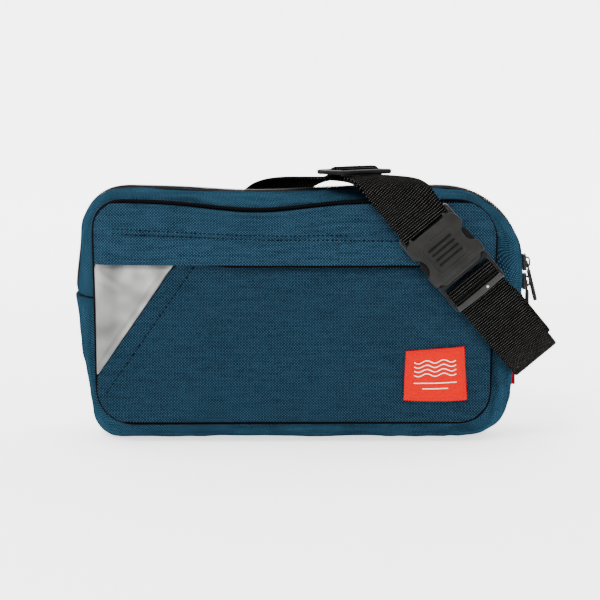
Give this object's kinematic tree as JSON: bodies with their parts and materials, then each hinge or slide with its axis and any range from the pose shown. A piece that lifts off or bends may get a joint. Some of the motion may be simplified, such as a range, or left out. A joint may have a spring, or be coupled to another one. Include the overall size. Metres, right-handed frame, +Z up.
{
  "type": "waist bag",
  "caption": "Rectangular zipped fabric waist bag with a flapped front pocket, reflective corner and webbing belt closed by a side-release buckle.",
  "frame": {"origin": "centre of the flat band on the underside that the bag stands on", "axes": "+X along the bag's width to the buckle's side, +Y from the front face to the back, +Z up"},
  "size_m": [0.2878, 0.1008, 0.1623],
  "materials": {
    "front_panel": "coarse plain weave, matt",
    "back_panel": "coarse plain weave, matt",
    "pocket_panel": "coarse plain weave, matt",
    "front_yoke": "coarse plain weave, matt",
    "storm_flap": "coarse plain weave, matt",
    "top_gusset_front": "coarse plain weave, matt",
    "top_gusset_rear": "coarse plain weave, matt",
    "bottom_gusset": "coarse plain weave, matt",
    "reflective_patch": "smooth reflective coated cloth, satin",
    "front_piping": "black woven tape, matt",
    "back_piping": "black woven tape, matt",
    "main_zip_tape_front": "black woven tape, matt",
    "main_zip_tape_rear": "black woven tape, matt",
    "pocket_zip_tape_upper": "black woven tape, matt",
    "pocket_zip_tape_lower": "black woven tape, matt",
    "long_strap": "black woven tape, matt",
    "long_strap_slack": "black woven tape, matt",
    "short_strap_front": "black woven tape, matt",
    "short_strap_tail": "black woven tape, matt",
    "short_strap_rear": "black woven tape, matt",
    "main_zip_coil": "black moulded plastic, satin",
    "pocket_zip_coil": "black moulded plastic, satin",
    "main_zip_pull_upper": "black moulded plastic, satin",
    "main_zip_pull_lower": "black moulded plastic, satin",
    "buckle_female": "fine-grained moulded plastic",
    "buckle_male": "fine-grained moulded plastic",
    "buckle_prong_left": "fine-grained moulded plastic",
    "buckle_prong_right": "fine-grained moulded plastic",
    "tri_glide": "fine-grained moulded plastic",
    "main_zip_slider_upper": "black painted, satin",
    "main_zip_slider_lower": "black painted, satin",
    "pocket_zip_slider": "black painted, satin",
    "red_label": "woven label, slight sheen",
    "side_flag_label": "woven label, slight sheen"
  },
  "bodies": {
    "pouch": {"front_panel": "front_panel", "back_panel": "back_panel", "pocket_panel": "pocket_panel", "front_yoke": "front_yoke", "top_gusset_front": "top_gusset_front", "top_gusset_rear": "top_gusset_rear", "bottom_gusset": "bottom_gusset", "reflective_patch": "reflective_patch", "front_piping": "front_piping", "back_piping": "back_piping", "main_zip_tape_front": "main_zip_tape_front", "main_zip_tape_rear": "main_zip_tape_rear", "pocket_zip_tape_upper": "pocket_zip_tape_upper", "pocket_zip_tape_lower": "pocket_zip_tape_lower", "long_strap": "long_strap", "long_strap_slack": "long_strap_slack", "short_strap_rear": "short_strap_rear", "main_zip_coil": "main_zip_coil", "pocket_zip_coil": "pocket_zip_coil", "buckle_female": "buckle_female", "red_label": "red_label", "side_flag_label": "side_flag_label"},
    "storm_flap": {"storm_flap": "storm_flap"},
    "main_slider_upper": {"main_zip_slider_upper": "main_zip_slider_upper"},
    "main_pull_upper": {"main_zip_pull_upper": "main_zip_pull_upper"},
    "main_slider_lower": {"main_zip_slider_lower": "main_zip_slider_lower"},
    "main_pull_lower": {"main_zip_pull_lower": "main_zip_pull_lower"},
    "pocket_slider": {"pocket_zip_slider": "pocket_zip_slider"},
    "buckle_male": {"buckle_male": "buckle_male", "short_strap_front": "short_strap_front", "short_strap_tail": "short_strap_tail"},
    "prong_left": {"buckle_prong_left": "buckle_prong_left"},
    "prong_right": {"buckle_prong_right": "buckle_prong_right"},
    "tri_glide": {"tri_glide": "tri_glide"}
  },
  "joints": [
    {"name": "storm_flap_lift", "type": "hinge", "parent": "pouch", "child": "storm_flap", "pos_m": [-0.0165, -0.041, 0.1224], "axis": [-1, 0, 0], "range_deg": [0, 40], "stiffness_Nm_per_rad": 0.01},
    {"name": "main_slider_upper_track", "type": "hinge", "parent": "pouch", "child": "main_slider_upper", "pos_m": [0.0838, 0, 0.101], "axis": [0, -1, 0], "range_deg": [0, 78]},
    {"name": "main_pull_upper_swing", "type": "hinge", "parent": "main_slider_upper", "child": "main_pull_upper", "pos_m": [0.13571, 0, 0.10399], "axis": [0, -1, 0], "range_deg": [0, 150]},
    {"name": "main_slider_lower_track", "type": "slide", "parent": "pouch", "child": "main_slider_lower", "axis": [0, 0, 1], "range_m": [-0.003, 0]},
    {"name": "main_pull_lower_swing", "type": "hinge", "parent": "main_slider_lower", "child": "main_pull_lower", "pos_m": [0.1358, 0, 0.0924], "axis": [0, -1, 0], "range_deg": [0, 130]},
    {"name": "pocket_slider_track", "type": "slide", "parent": "pouch", "child": "pocket_slider", "axis": [1, 0, 0], "range_m": [-0.148, 0]},
    {"name": "buckle_release", "type": "slide", "parent": "pouch", "child": "buckle_male", "axis": [0.6429, 0, -0.7659], "range_m": [0, 0.036]},
    {"name": "prong_left_squeeze", "type": "hinge", "parent": "buckle_male", "child": "prong_left", "pos_m": [0.07991, -0.046, 0.09861], "axis": [0, 1, 0], "range_deg": [0, 7], "stiffness_Nm_per_rad": 0.3},
    {"name": "prong_right_squeeze", "type": "hinge", "parent": "buckle_male", "child": "prong_right", "pos_m": [0.10013, -0.046, 0.11558], "axis": [0, -1, 0], "range_deg": [0, 7], "stiffness_Nm_per_rad": 0.3},
    {"name": "tri_glide_play", "type": "slide", "parent": "pouch", "child": "tri_glide", "axis": [-0.6429, 0.7659, -0.0006], "range_m": [-0.0015, 0.0015]}
  ]
}
